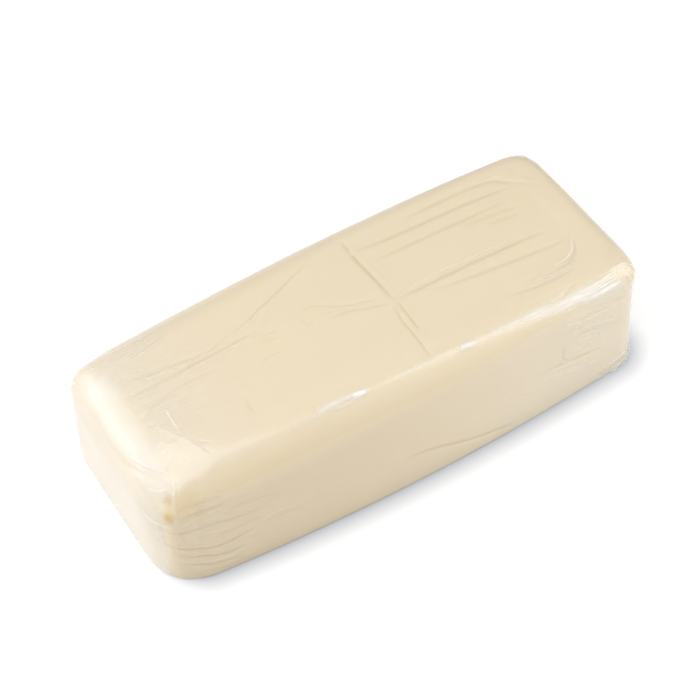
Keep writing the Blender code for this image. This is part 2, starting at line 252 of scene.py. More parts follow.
# swellings on the front's rounded edge
BEADS = (
    (3, 0.3, ((-38, -43, 67), (-30, -44, 67), (-26, -45, 66))),
    (2.5, 0.25, ((27, -47, 66), (33, -48, 66))),
)
# blunt edges where the left end's upright corners turn
RIDGES = (
    (10.0, 1.8, ((-121, -35, 60.5), (-125, -43.5, 53.5), (-127, -48, 39),
                 (-128, -49, 23), (-129.5, -50, 3))),
)
# where loose film is milky, which also paints the rim's highlight: half width in mm, how milky, then
# the path
RIM_VEIL_HIGHLIGHT = (
    (13.0, 0.16, ((-127, -30, 60), (-129.5, -35, 56), (-132, -38, 50), (-133, -40, 36))),
    (15.0, 0.26, ((-123, -33, 61), (-127, -22, 62), (-130, -8, 60.5), (-131, 3, 59.5),
                  (-129, 16, 61), (-128, 26, 61), (-124, 40, 58))),
)
# the same in bands along the front edge: gathered film, and a painted highlight streak where the
# lamp's streak is
STREAK_STRANDS = (
    (6.6, 0.50, ((62, -48, 66), (84, -49, 65), (95, -49, 64.5), (108, -49.5, 63), (124, -49.5, 61))),
    (3.2, 0.42, ((39, -47, 66.5), (49, -47.5, 66.5), (60, -47.5, 66.5), (78, -48.5, 65.5))),
    (1.9, 0.26, ((94, -47, 66), (101, -46.5, 66), (109, -46.5, 66), (118, -45.5, 66), (125, -45, 65))),
    (1.8, 0.30, ((92, -51, 62.5), (107, -50.5, 61.5), (122, -49.5, 61))),
    (1.8, 0.20, ((-66, -45, 64), (-50, -44.5, 65.5), (-38, -44, 66.5))),
    (2.0, 0.55, ((-52, -43, 66), (-40, -43.5, 66.5), (-31, -44, 66.5), (-24, -45, 66.5))),
    (1.6, 0.40, ((-46, -45.5, 65.5), (-35, -46, 65.5), (-28, -46, 66), (-24, -45, 66.5))),
    (2.0, 0.26, ((-12, -45.5, 67), (1, -46, 67), (12, -46, 67), (26, -46.5, 67))),
    (2.3, 0.45, ((-32, -44.5, 66.5), (-27, -45, 66.5), (-23, -45, 66.5))),
    (2.7, 0.62, ((25, -46.5, 67), (31, -47, 66.5), (37, -47.5, 66.5))),
)
# where the cheese has yellowed at the front left corner: radius, depth of colour, place
YELLOWED = (
    (4.0, 1.0, (-128, -41.5, 54)),
    (4.3, 1.0, (-130, -45.5, 45.5)),
    (10.0, 0.2, (-121, -49, 51)),
)

# ---- zones: each pair runs from where a zone starts to where it is full ------
# a TURN is read on the skin's normal, so it keeps a zone to the sides or the top;
# first the panel, the ears, the tail and the beads
PANEL_TURN = (0.85, 0.98)
EAR_TURN = (0.15, 0.6)
TAIL_TURN = (0.95, 0.6)
TAIL_WAVE = 0.3              # how much of the tail's reach comes and goes in crumples
EAR_IN_CHEESE = 0.5          # the rest of the ear is film that stands off the cheese
BEAD_IN_CHEESE = 0.6         # and the same for a bead

# slow unevenness, and how narrow the crests of ridged noise are
SAG = 0.16 * MM
SAG_SIZE = (45 * MM, 18 * MM, 18 * MM)
SAG_BELOW = 0.19 * MM        # keeps the uneven skin inside the part's size
CREST_SHARPNESS = 3.0

# crackled film on the left end's rim
RIM_CRACKLE = (-92 * MM, -120 * MM)
RIM_CRACKLE_TURN = (0.15, 0.5)
RIM_CRACKLE_SIZE = (14 * MM, 6 * MM, 6 * MM)
RIM_CRACKLE_PRESSED = 0.01   # height in mm
RIM_CRACKLE_LIFTED = 0.02

# the course of the creases round the sides
DIP = 8 * MM                 # how far the side creases dip, low at the left
DIP_MIDDLE = -107 * MM
DIP_HALF_WIDTH = 34 * MM
DIP_HEIGHT = (44 * MM, 14 * MM)
SLANT_START = 60 * MM        # beyond this towards both ends the side creases slant
LEFT_SLANT = 0.10
RIGHT_SLANT = 0.30

# how gathered they are
GATHERED_TURN = (0.80, 0.45)
GATHERED_ENDS = (55 * MM, 115 * MM)
GATHERED_MIDDLE = 0.25
GATHERED_RIGHT = 0.55
RIGHT_HALF = (0.0, 90 * MM)
END_FACE_TURN = (0.35, 0.8)
END_FACE_GATHERED = 0.1

# how stretched the film on the top is
STRETCHED_TURN = (0.35, 0.8)
STRETCHED_LEFT = (-35 * MM, -108 * MM)
STRETCHED_MIDDLE = 0.12
STRETCHED_RIM = 0.25
STRETCHED_RIM_TURN = (0.15, 0.6)
STRETCHED_FRONT = 0.35
STRETCHED_ACROSS = (-36 * MM, -10 * MM)

# how milky the film is, evenly; this milk also paints highlight, glancing reflection and sheen
RIM_MILK_SHEEN = 0.24
RIM_MILK_LEFT = (-55 * MM, -120 * MM)
RIM_MILK_HEIGHT = (44 * MM, 58 * MM)
CORNER_MILK_SHEEN = 0.10
CORNER_MILK_LEFT = (-121 * MM, -127 * MM)
CORNER_MILK_ACROSS = (12 * MM, 28 * MM)
END_MILK_SHEEN = 0.38
END_MILK_TURN = (-0.5, -0.9)
SIDES_CLEAR_TURN = (0.72, 0.45)
RIGHT_MILK_SHEEN = 0.20
RIGHT_MILK_TURN = (0.2, 0.65)
FRONT_MILK_SHEEN = 0.20
FRONT_MILK_RIGHT = (10 * MM, 120 * MM)
FRONT_MILK_TURN = (0.6, 0.3)

# tints of the curd, and painted shade on its sides and back edge
EDGE_YELLOW = 0.28
EDGE_YELLOW_RIGHT = 0.3             # how much of it is left at the right
EDGE_YELLOW_ALONG = (-110 * MM, 90 * MM)
EDGE_YELLOW_EDGE = (0.5, 0.3)       # the edge's turn towards the top, and how far it spreads
EDGE_YELLOW_TURN = (0.2, 0.5)
GREY_TURN = (0.60, 0.15)
GREY_SIDE_TURN = (0.3, 0.8)
GREY_LEFT = (100 * MM, -75 * MM)
GREY_BACK = 0.6
GREY_BACK_TURN = (0.45, 0.75)
GREY_BACK_TOP_TURN = (0.0, 0.3)


# ---- small helpers ---------------------------------------------------------
def blend(a, b, t):
    """From a at 0 to b at 1."""
    return a + (b - a) * t


def ramp(low, high, value):
    """Smooth step from 0 at low to 1 at high."""
    t = np.clip((value - low) / (high - low), 0.0, 1.0)
    return t * t * (3.0 - 2.0 * t)


def bump(distance, half_width):
    """Rounded ridge: 1 in the middle, 0 at half_width and beyond."""
    t = np.clip(np.abs(distance) / half_width, 0.0, 1.0)
    return (1.0 - t * t) ** 2


def soft_corner(a, b, radius):
    """The greater of two distances, blended where they are nearly the same."""
    width = SOFT_CORNER * radius
    overlap = np.maximum(width - np.abs(a - b), 0.0) / width
    return np.maximum(a, b) + overlap * overlap * width / 4.0


def round_edge(a, b, radius):
    """Distance from an edge rounded to the radius, from those to its two faces."""
    outside = np.hypot(np.maximum(a + radius, 0.0), np.maximum(b + radius, 0.0))
    return np.minimum(np.maximum(a, b), -radius) + outside


def grain(points, size, seed):
    """Blender's noise, from -1 to 1, at places measured in sizes (x, y, z)."""
    places = points / np.array(size) + seed
    return np.array([noise.noise(Vector(place)) for place in places])


# ---- the loaf's smooth form ------------------------------------------------
def side_distance(p):
    """Distance from the bowed and leaning sides, negative inside them."""
    x, y, z = p[:, 0], p[:, 1], p[:, 2]
    up = np.clip(z / HEIGHT, 0.0, 1.0)
    side_bow = np.where(y < 0, FRONT_BOW, blend(BACK_BOW_BASE, BACK_BOW_TOP, up))
    half_width = blend(BASE_WIDTH, TOP_WIDTH, up) / 2 - side_bow * (2 * x / LENGTH) ** 2
    end_bow = np.where(x < 0, blend(LEFT_BOW_BASE, LEFT_BOW_TOP, up), RIGHT_BOW)
    lean = np.where(x < 0, LEFT_LEAN, RIGHT_LEAN) * (up - 0.5)
    half_length = LENGTH / 2 - END_SHIFT * np.sign(x) + lean - end_bow * (2 * y / BASE_WIDTH) ** 2
    left_radius = np.where(y < 0, CORNER_LEFT_FRONT, CORNER_LEFT_BACK)
    radius = blend(left_radius, CORNER_RIGHT, ramp(-LENGTH / 4, LENGTH / 4, x))
    return soft_corner(np.abs(x) - half_length, np.abs(y) - half_width, radius)


def top_height(x):
    return HEIGHT - LEFT_DROP * np.clip(-2 * x / LENGTH, 0.0, 1.0) ** 2


def fillet_radius(x, y):
    along = ramp(-LENGTH / 2, LENGTH / 2, x)
    across = ramp(-BASE_WIDTH / 2, BASE_WIDTH / 2, y)
    front = blend(FILLET_LEFT_FRONT, FILLET_RIGHT_FRONT, along)
    back = blend(FILLET_LEFT_BACK, FILLET_RIGHT_BACK, along)
    return blend(front, back, across)


def skin_distance(p):
    side = side_distance(p)
    top = round_edge(side, p[:, 2] - top_height(p[:, 0]), fillet_radius(p[:, 0], p[:, 1]))
    return round_edge(top, -p[:, 2], BASE_RADIUS)


def skin_normal(p):
    slopes = []
    for axis in range(3):
        shift = np.zeros(3)
        shift[axis] = SLOPE_STEP
        slopes.append(skin_distance(p + shift) - skin_distance(p - shift))
    normal = np.stack(slopes, axis=1)
    return normal / np.linalg.norm(normal, axis=1)[:, None]


def cast_on_skin(points):
    """Send each point straight out from an inner core onto the skin."""
    reach = np.array([LENGTH / 2, BASE_WIDTH / 2]) - CORE_MARGIN
    low = np.array([-reach[0], -reach[1], CORE_BASE])
    high = np.array([reach[0], reach[1], HEIGHT - CORE_MARGIN])
    core = np.clip(points, low, high)
    way = points - core
    way /= np.linalg.norm(way, axis=1)[:, None]
    near = np.zeros(len(points))
    far = np.full(len(points), CAST_REACH)
    for _ in range(CAST_STEPS):
        middle = (near + far) / 2
        outside = skin_distance(core + way * middle[:, None]) > 0
        far = np.where(outside, middle, far)
        near = np.where(outside, near, middle)
    return core + way * near[:, None]


# ---- folds and lines -------------------------------------------------------
def smooth_path(path):
    """The path's points joined by a smooth curve, in metres, on the skin."""
    knots = np.array(path, dtype=float) * MM
    knots = np.vstack([2 * knots[0] - knots[1], knots, 2 * knots[-1] - knots[-2]])
    line = []
    for a, b, c, d in zip(knots, knots[1:], knots[2:], knots[3:]):
        pieces = max(2, int(np.linalg.norm(c - b) / PATH_STEP))
        for t in np.arange(pieces) / pieces:
            line.append(0.5 * (2 * b + (c - a) * t + (2 * a - 5 * b + 4 * c - d) * t * t
                               + (3 * b - 3 * c + d - a) * t ** 3))
    line.append(knots[-2])
    return cast_on_skin(np.array(line))


def along_path(points, normals, path, reach):
    """Which points lie within reach of the path, how far from it, how far across it
    (negative on one side), and how far along it from 0 to 1."""
    line = smooth_path(path)
    low = line.min(axis=0) - reach
    high = line.max(axis=0) + reach
    near = np.flatnonzero(np.all((points > low) & (points < high), axis=1))
    place = points[near]
    facing_out = normals[near]
    lengths = np.linalg.norm(np.diff(line, axis=0), axis=1)
    starts = np.concatenate([[0.0], np.cumsum(lengths)])
    distance = np.full(len(near), FAR)
    across = np.zeros(len(near))
    along = np.zeros(len(near))
    for start, end, length, begun in zip(line, line[1:], lengths, starts):
        way = (end - start) / length
        run = np.clip((place - start) @ way, 0.0, length)
        gap = place - start - run[:, None] * way
        apart = np.linalg.norm(gap, axis=1)
        closer = apart < distance
        distance[closer] = apart[closer]
        across[closer] = np.sum(gap * np.cross(facing_out, way), axis=1)[closer]
        along[closer] = (begun + run[closer]) / starts[-1]
    return near, distance, across, along


def end_fade(along):
    """1 along most of a line, and 0 at both its ends."""
    return 1.0 - np.abs(2 * along - 1) ** 4


def draw_lines(points, normals, lines):
    """Height of the lines at each point, in mm.

    A line too narrow for the mesh is drawn wider and lower.
    """
    height = np.zeros(len(points))
    for half_width, rise, path in lines:
        width = max(half_width, LEAST_WIDTH)
        near, distance, _, along = along_path(points, normals, path, width * MM)
        height[near] += rise * half_width / width * bump(distance, width * MM) * end_fade(along)
    return height


def mark_lines(points, normals, lines):
    """What the shaders need to draw the lines sharply between vertices.

    It is how far each point is across its nearest line, in half widths, and how
    strong the line is there. Where two lines meet, both are left out of the marks.
    """
    nearest = np.full(len(points), FAR)
    second = np.full(len(points), FAR)
    marks = np.zeros((len(points), 3))
    for half_width, rise, path in lines:
        near, distance, across, along = along_path(points, normals, path, MARK_REACH)
        closer = distance < nearest[near]
        second[near] = np.where(closer, nearest[near], np.minimum(second[near], distance))
        nearest[near] = np.minimum(nearest[near], distance)
        chosen = near[closer]
        marks[chosen, 0] = across[closer] / (half_width * MARK_WIDTH * MM)
        marks[chosen, 1] = end_fade(along[closer]) * min(1.0, abs(rise) / MARK_FULL)
    marks[:, 1] *= ramp(*MARKS_APART, second - nearest)
    marks[:, 1] *= ramp(MARK_REACH, MARK_HOLD * MARK_REACH, nearest)
    return marks


def mirrored(lines, x_side, y_side):
    """The same lines on another side, where x_side or y_side is -1."""
    return tuple((half_width, rise, tuple((x * x_side, y * y_side, z) for x, y, z in path))
                 for half_width, rise, path in lines)


# ---- relief ----------------------------------------------------------------
def panel_relief(p, normal):
    """Sunk panel with rounded right corners on the right half of the top."""
    x, y = p[:, 0], p[:, 1]
    middle = (PANEL_FRONT + PANEL_BACK) / 2
    half = (PANEL_BACK - PANEL_FRONT) / 2
    outside = round_edge(x - PANEL_RIGHT, np.abs(y - middle) - half, PANEL_RADIUS)
    outside = np.maximum(outside, PANEL_LEFT - x)
    inside = ramp(PANEL_WALL / 2, -PANEL_WALL / 2, outside)
    return -PANEL_DEPTH * inside * ramp(*PANEL_TURN, normal[:, 2])


def ear_relief(p, normal):
    """Gathered film high on both upright corners of the right end."""
    at_corner = ramp(*EAR_TURN, normal[:, 0]) * ramp(*EAR_TURN, np.abs(normal[:, 1]))
    return EAR_REACH * at_corner * bump(p[:, 2] - EAR_HEIGHT, EAR_HALF_HEIGHT)


def tail_relief(p, normal):
    """Crumpled film low round the right end."""
    x, y, z = p[:, 0], p[:, 1], p[:, 2]
    wraps = ramp(TAIL_START, LENGTH / 2 - CORNER_RIGHT, x)
    low = ramp(TAIL_HEIGHT, TAIL_HEIGHT / 2, z)
    turns = (x + y) / (LENGTH - 2 * TAIL_START) * TAIL_CRUMPLES
    crumple = 1.0 - TAIL_WAVE + TAIL_WAVE * np.sin(turns * 2 * np.pi)
    level = ramp(*TAIL_TURN, np.abs(normal[:, 2]))
    return TAIL_REACH * wraps * low * crumple * level


def sag(p):
    """Slow unevenness of the loaf, which makes its highlights waver."""
    return SAG * grain(p, SAG_SIZE, seed=3.7) - SAG_BELOW


def ridged(points, size, seed):
    """Fine creases: narrow crests between wider hollows, from 0 to 1."""
    return (1.0 - np.minimum(np.abs(grain(points, size, seed)) * CREST_SHARPNESS, 1.0)) ** 2


def drawn_places(p):
    """How far round the loaf and how far up its creases each point is.

    The creases on the sides dip towards the ends, most of all low at the left.
    """
    x, z = p[:, 0], p[:, 2]
    left_dip = DIP * bump(x - DIP_MIDDLE, DIP_HALF_WIDTH) * ramp(*DIP_HEIGHT, z)
    left_slant = LEFT_SLANT * np.minimum(x + SLANT_START, 0.0)
    right_slant = RIGHT_SLANT * np.maximum(x - SLANT_START, 0.0)
    up = z + left_dip + left_slant + right_slant
    return np.stack([x - p[:, 1], up, np.zeros(len(p))], axis=1)


def gathered_zone(p, normal):
    """Where the film is drawn round the sides in fine creases, from 0 to 1.

    The right half is smoother, and so are the end faces, as the film is pulled straight
    down over them.
    """
    upright = ramp(*GATHERED_TURN, np.abs(normal[:, 2]))
    near_end = blend(GATHERED_MIDDLE, 1.0, ramp(*GATHERED_ENDS, np.abs(p[:, 0])))
    near_end *= blend(1.0, GATHERED_RIGHT, ramp(*RIGHT_HALF, p[:, 0]))
    end_face = blend(1.0, END_FACE_GATHERED, ramp(*END_FACE_TURN, np.abs(normal[:, 0])))
    return upright * near_end * end_face


def stretched_zone(p, normal):
    """Where the film is stretched lengthwise on the top, from 0 to 1, less at the front."""
    level = ramp(*STRETCHED_TURN, normal[:, 2])
    towards_end = blend(STRETCHED_MIDDLE, 1.0, ramp(*STRETCHED_LEFT, p[:, 0]))
    rim = blend(1.0, STRETCHED_RIM, ramp(*STRETCHED_RIM_TURN, np.abs(normal[:, 0])))
    front = blend(STRETCHED_FRONT, 1.0, ramp(*STRETCHED_ACROSS, p[:, 1]))
    return level * towards_end * rim * front


def rim_creases(p, normal):
    """Crackled film on the left end's rounded rim and the top beside it."""
    zone = ramp(*RIM_CRACKLE, p[:, 0]) * ramp(*RIM_CRACKLE_TURN, normal[:, 2])
    return zone * ridged(p, RIM_CRACKLE_SIZE, seed=5.1)


def veil_and_sheen(p, normal):
    """How milky the film is evenly: most round the left rim and end, less at the right.
    Besides loose film, this milk paints the rim's highlight, a glancing reflection on the
    left end face and a sheen on the right end and towards the right of the front.
    """
    x, y, z = p[:, 0], p[:, 1], p[:, 2]
    # milk that paints the left rim's highlight
    rim = RIM_MILK_SHEEN * ramp(*RIM_MILK_LEFT, x) * ramp(*RIM_MILK_HEIGHT, z)
    rim += CORNER_MILK_SHEEN * ramp(*CORNER_MILK_LEFT, x) * ramp(*CORNER_MILK_ACROSS, np.abs(y))
    rim += draw_lines(p, normal, RIM_VEIL_HIGHLIGHT)
    # milk that paints a glancing reflection on the left end face
    end = END_MILK_SHEEN * ramp(*END_MILK_TURN, normal[:, 0])
    left = np.maximum(rim, end) * ramp(*SIDES_CLEAR_TURN, np.abs(normal[:, 1]))
    # milk that paints a sheen on the right end and the right of the front
    right = RIGHT_MILK_SHEEN * ramp(*RIGHT_MILK_TURN, normal[:, 0])
    front = FRONT_MILK_SHEEN * ramp(*FRONT_MILK_RIGHT, x) * ramp(*FRONT_MILK_TURN, normal[:, 2])
    return np.clip(left + np.maximum(right, front), 0.0, 1.0)


def edge_yellowness(p, normal):
    """Slightly yellower cream along the foot of the rounded left front edge."""
    turn, spread = EDGE_YELLOW_EDGE
    edge = bump(normal[:, 2] - turn, spread) * ramp(*EDGE_YELLOW_TURN, np.abs(normal[:, 1]))
    return EDGE_YELLOW * edge * blend(1.0, EDGE_YELLOW_RIGHT, ramp(*EDGE_YELLOW_ALONG, p[:, 0]))


def painted_side_shade(p, normal):
    """Painted shade on the upright sides, less towards the right, and along the back edge."""
    side = ramp(*GREY_TURN, normal[:, 2]) * ramp(*GREY_SIDE_TURN, np.abs(normal[:, 1]))
    back_edge = ramp(*GREY_BACK_TURN, normal[:, 1]) * ramp(*GREY_BACK_TOP_TURN, normal[:, 2])
    return np.clip(side * ramp(*GREY_LEFT, p[:, 0]) + GREY_BACK * back_edge, 0.0, 1.0)


def shape_relief(p):
    """Heights of the cheese and of the film over the skin, and the marks for the shaders."""
    normal = skin_normal(p)
    pressed_lines = PANEL_LINES + LEFT_LINES + RIM_LINES + CORNER_LINES + FRONT_LINES
    lifted_lines = PANEL_FOLDS + LEFT_FOLDS + RIM_FOLDS + CORNER_FOLDS + FRONT_FOLDS
    # the hidden back corners are creased like the left front one
    for x_side in (1, -1):
        pressed_lines += mirrored(CORNER_LINES, x_side, -1)
        lifted_lines += mirrored(CORNER_FOLDS, x_side, -1)
    crackle = rim_creases(p, normal)
    beads = draw_lines(p, normal, BEADS)
    ridges = draw_lines(p, normal, RIDGES + mirrored(RIDGES, 1, -1))
    ears = ear_relief(p, normal)
    pressed_mm = draw_lines(p, normal, pressed_lines) + ridges
    pressed_mm += RIM_CRACKLE_PRESSED * crackle + BEAD_IN_CHEESE * beads
    pressed = panel_relief(p, normal) + EAR_IN_CHEESE * ears + sag(p) + pressed_mm * MM
    lifted_mm = draw_lines(p, normal, lifted_lines)
    lifted_mm += RIM_CRACKLE_LIFTED * crackle + (1.0 - BEAD_IN_CHEESE) * beads
    lifted = (1.0 - EAR_IN_CHEESE) * ears + tail_relief(p, normal) + lifted_mm * MM
    zones = {
        "groove": mark_lines(p, normal, pressed_lines),
        "crest": mark_lines(p, normal, lifted_lines),
        "drawn": drawn_places(p),
        "gathered": gathered_zone(p, normal),
        "stretched": stretched_zone(p, normal),
    }
    return normal, pressed, lifted, zones


# ---- the meshes ------------------------------------------------------------
def even_lines(low, high, step):
    """Places from low up to high, about a step apart, without high itself."""
    count = max(1, int(round((high - low) / step)))
    return [low + (high - low) * i / count for i in range(count)]


def cut_box():
    """A box of the loaf's size, cut by planes and split into a fine grid."""
    grid = bmesh.new()
    bmesh.ops.create_cube(grid, size=1.0)
    bmesh.ops.scale(grid, vec=(LENGTH, BASE_WIDTH, HEIGHT), verts=grid.verts)
    bmesh.ops.translate(grid, vec=(0.0, 0.0, HEIGHT / 2), verts=grid.verts)
    lengthwise = even_lines(-LENGTH / 2, -END_ZONE, END_STEP)[1:]
    lengthwise += even_lines(-END_ZONE, STEP_ZONE[0], MIDDLE_STEP)
    lengthwise += even_lines(*STEP_ZONE, CROSS_STEP)
    lengthwise += even_lines(STEP_ZONE[1], END_ZONE, MIDDLE_STEP)
    lengthwise += even_lines(END_ZONE, LENGTH / 2, END_STEP)
    cuts = [(0, x) for x in lengthwise]
    cuts += [(1, y) for y in even_lines(-BASE_WIDTH / 2, BASE_WIDTH / 2, CROSS_STEP)[1:]]
    cuts += [(2, z) for z in even_lines(0.0, HEIGHT, HEIGHT_STEP)[1:]]
    for axis, place in cuts:
        point = [0.0, 0.0, 0.0]
        normal = [0.0, 0.0, 0.0]
        point[axis] = place
        normal[axis] = 1.0
        everything = grid.verts[:] + grid.edges[:] + grid.faces[:]
        bmesh.ops.bisect_plane(
            grid, geom=everything, plane_co=point, plane_no=normal, dist=CUT_SLACK)
    bmesh.ops.subdivide_edges(grid, edges=grid.edges[:], cuts=SPLITS, use_grid_fill=True)
    return grid


def join_base(grid, level):
    """One fan of faces in place of the grid on the flat base."""
    base = [face for face in grid.faces
            if all(abs(vert.co.z - level) < LEVEL_SLACK for vert in face.verts)]
    joined = bmesh.ops.dissolve_faces(grid, faces=base, use_verts=False)["region"]
    bmesh.ops.poke(grid, faces=joined, center_mode="MEAN_WEIGHTED")


def shell(grid, points, level, marks):
    """A copy of the grid with its vertices at the points, and the marks as attributes."""
    copy = grid.copy()
    layers = {}
    for name, values in marks.items():
        kinds = copy.verts.layers.float if values.ndim == 1 else copy.verts.layers.float_vector
        layers[name] = kinds.new(name)
    for index, (vert, place) in enumerate(zip(copy.verts, points)):
        vert.co = place
        for name, layer in layers.items():
            vert[layer] = marks[name][index]
    join_base(copy, level)
    bmesh.ops.recalc_face_normals(copy, faces=copy.faces[:])
    return copy


def add_piece(name, grid, material):
    mesh = bpy.data.meshes.new(name)
    grid.to_mesh(mesh)
    grid.free()
    mesh.shade_smooth()
    mesh.materials.append(material)
    piece = bpy.data.objects.new(name, mesh)
    bpy.context.collection.objects.link(piece)
    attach(piece, "root")
    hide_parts("mozzarella_pack")
    return piece


def keep_base_flat(moved, skin, level):
    """The base stays on its plane, and nothing goes under it."""
    flat = skin[:, 2] < BASE_RADIUS
    moved[flat, 2] = np.maximum(skin[flat, 2], level)
    moved[skin[:, 2] < BASE_TOUCH, 2] = level
    return moved


def loaf_and_film():
    grid = cut_box()
    skin = cast_on_skin(np.array([vert.co[:] for vert in grid.verts]))
    normal, pressed, lifted, zones = shape_relief(skin)
    yellowed = np.zeros(len(skin))
    for radius, depth, place in YELLOWED:
        apart = np.linalg.norm(skin - np.array(place) * MM, axis=1)
        yellowed = np.maximum(yellowed, depth * bump(apart, radius * MM))
    inner = skin + normal * (pressed - FILM_GAP)[:, None]
    outer = skin + normal * (pressed + np.maximum(lifted, FILM_NEAREST - FILM_GAP))[:, None]
    inner = keep_base_flat(inner, skin, CHEESE_BASE)
    outer = keep_base_flat(outer, skin, 0.0)
    cheese = shell(grid, inner, CHEESE_BASE, {
        "yellowed": yellowed, "edge_yellow": edge_yellowness(skin, normal), "painted_shade": painted_side_shade(skin, normal), **zones})
    film = shell(grid, outer, 0.0, {
        "veil_and_sheen": veil_and_sheen(skin, normal), "streak_strands": draw_lines(skin, normal, STREAK_STRANDS), **zones})
    grid.free()
    add_piece("mozzarella_loaf", cheese, pasta_filata_cheese())
    add_piece("shrink_film", film, polyolefin_film())


# ---- materials -------------------------------------------------------------
WHITE = "#ffffff"

CURD_DEEP = "#e3d3b5"        # warm cream, in slow patches of these two
CURD_PALE = "#e6d8bd"
CURD_EDGE_YELLOW = "#e4cf9e"
# painted shade on the upright sides and the back edge
CURD_PAINTED_SHADE = "#ddccad"
# painted shade in the pressed lines
CURD_PRESSED_SHADE = "#c9b385"
CURD_YELLOWED = "#cfb26c"
PRESSED_SHADE_SHARE = 0.42         # how much painted shade a sharp pressed line takes
PATCH_SIZE = (90 * MM, 30 * MM, 30 * MM)
CURD_GRAIN = 4 * MM          # coarser than real curd grain, so that it shows
CURD_GRAIN_DEPTH = 0.3 * MM
CURD_GRAIN_STRENGTH = 0.1
PRINT_STRENGTH = 0.85        # how much of the film's creases is printed on the cheese
CURD_ROUGHNESS = 0.5
CURD_IOR = 1.4               # as milk fat and water
CURD_DEPTH = 3 * MM          # how deep light wanders in it, most of all red light
CURD_DEPTH_SHARES = (1.0, 0.7, 0.4)
CURD_TRANSLUCENCE = 0.25

SIDE_CREASE = (40 * MM, 3.6 * MM, FAR)  # length, spacing, and no change in depth
TOP_CREASE = (70 * MM, 4.2 * MM, 20 * MM)
TOP_CREASE_TURN = math.radians(-3.0)
CREASE_NOISE = {"Scale": 1.0, "Detail": 2.0, "Roughness": 0.45, "Distortion": 0.3}
STREAK_NOISE = {"Scale": 1.0, "Detail": 3.0, "Roughness": 0.55}
CREASE_DEPTH = 0.5 * MM
LINE_DEPTH = 0.15 * MM

FILM_CLEAR = (0.98, 0.98, 0.98, 1.0)  # the part of the light that goes through
# the milky film's colour, which also paints highlights and reflections
FILM_MILK_SHEEN = "#f4f2ec"
FILM_MILK_ROUGHNESS = 0.5
STRAND_SIZE = (20 * MM, 2.4 * MM, 2.4 * MM)
STRAND_RANGE = (0.65, 1.35)  # how much less or more milky a strand is
CREASE_MILK = 0.10
CREST_MILK = 0.42
MILKIEST = 0.95
MIRROR_HEAD_ON = 0.05
MIRROR_GLANCING = 0.65
MIRROR_FALLOFF = 5.0
CRISP_ROUGHNESS = 0.17       # the mirror of the tight film
SPREAD_ROUGHNESS = 0.40      # and the wider glow of its finest wrinkles
SPREAD_SHARE = 0.4

PAPER_GREY = "#c4c4c4"
# the colour of the painted contact shadow
PAPER_SHADE = "#bcbfc5"
PAPER_GLOW = 0.5


def srgb(hex_colour):
    """Linear colour of an sRGB hex value."""
    values = [int(hex_colour[i:i + 2], 16) / 255 for i in (1, 3, 5)]
    linear = [v / 12.92 if v <= 0.04045 else ((v + 0.055) / 1.055) ** 2.4 for v in values]
    return (*linear, 1.0)


def per_metre(sizes):
    """A Mapping node's scale for a pattern of these sizes."""
    return tuple(1 / size for size in sizes)


def add_node(tree, kind, settings=None, links=None):
    """A shader node with its settings, and its sockets set to a value or linked.

    A link comes from an output, or from a node, which stands for its first output.
    """
    node = tree.nodes.new("ShaderNode" + kind)
    for key, value in (settings or {}).items():
        setattr(node, key, value)
    for socket, source in (links or {}).items():
        if isinstance(source, bpy.types.Node):
            source = source.outputs[0]
        if isinstance(source, bpy.types.NodeSocket):
            tree.links.new(source, node.inputs[socket])
        else:
            node.inputs[socket].default_value = source
    return node


def new_material(name):
    material = bpy.data.materials.new(name)
    material.use_nodes = True
    tree = material.node_tree
    tree.nodes.clear()
    return material, tree


def sharp_line(tree, name):
    """A marked line's rounded profile, 1 in its middle, sharp between the vertices."""
    mark = add_node(tree, "Attribute", {"attribute_name": name}).outputs["Vector"]
    across, strength, _ = add_node(tree, "SeparateXYZ", None, {0: mark}).outputs
    away = add_node(tree, "Math", {"operation": "ABSOLUTE"}, {0: across})
    squared = add_node(tree, "Math", {"operation": "POWER"}, {0: away, 1: 2.0})
    inside = add_node(tree, "Math", {"operation": "SUBTRACT"}, {0: 1.0, 1: squared})
    clipped = add_node(tree, "Math", {"operation": "MAXIMUM"}, {0: inside, 1: 0.0})
    rounded = add_node(tree, "Math", {"operation": "POWER"}, {0: clipped, 1: 2.0})
    return add_node(tree, "Math", {"operation": "MULTIPLY"}, {0: rounded, 1: strength})


def fine_creases(tree, place):
    """Height of the fine creases: round the sides 3 to 4 mm apart and 40 mm long, and
    lengthwise on the top about 4 mm apart and 70 mm long."""
    drawn = add_node(tree, "Attribute", {"attribute_name": "drawn"})
    gathered = add_node(tree, "Attribute", {"attribute_name": "gathered"})
    stretched = add_node(tree, "Attribute", {"attribute_name": "stretched"})
    side_place = add_node(tree, "Mapping", None, {
        "Vector": drawn.outputs["Vector"], "Scale": per_metre(SIDE_CREASE)})
    top_place = add_node(tree, "Mapping", None, {
        "Vector": place, "Rotation": (0.0, 0.0, TOP_CREASE_TURN), "Scale": per_metre(TOP_CREASE)})
    round_sides = add_node(tree, "TexNoise", None, {"Vector": side_place, **CREASE_NOISE})
    lengthwise = add_node(tree, "TexNoise", None, {"Vector": top_place, **CREASE_NOISE})
    sides = add_node(tree, "Math", {"operation": "MULTIPLY"}, {
        0: round_sides, 1: gathered.outputs["Fac"]})
    top = add_node(tree, "Math", {"operation": "MULTIPLY"}, {
        0: lengthwise, 1: stretched.outputs["Fac"]})
    return add_node(tree, "Math", {"operation": "ADD"}, {0: sides, 1: top})


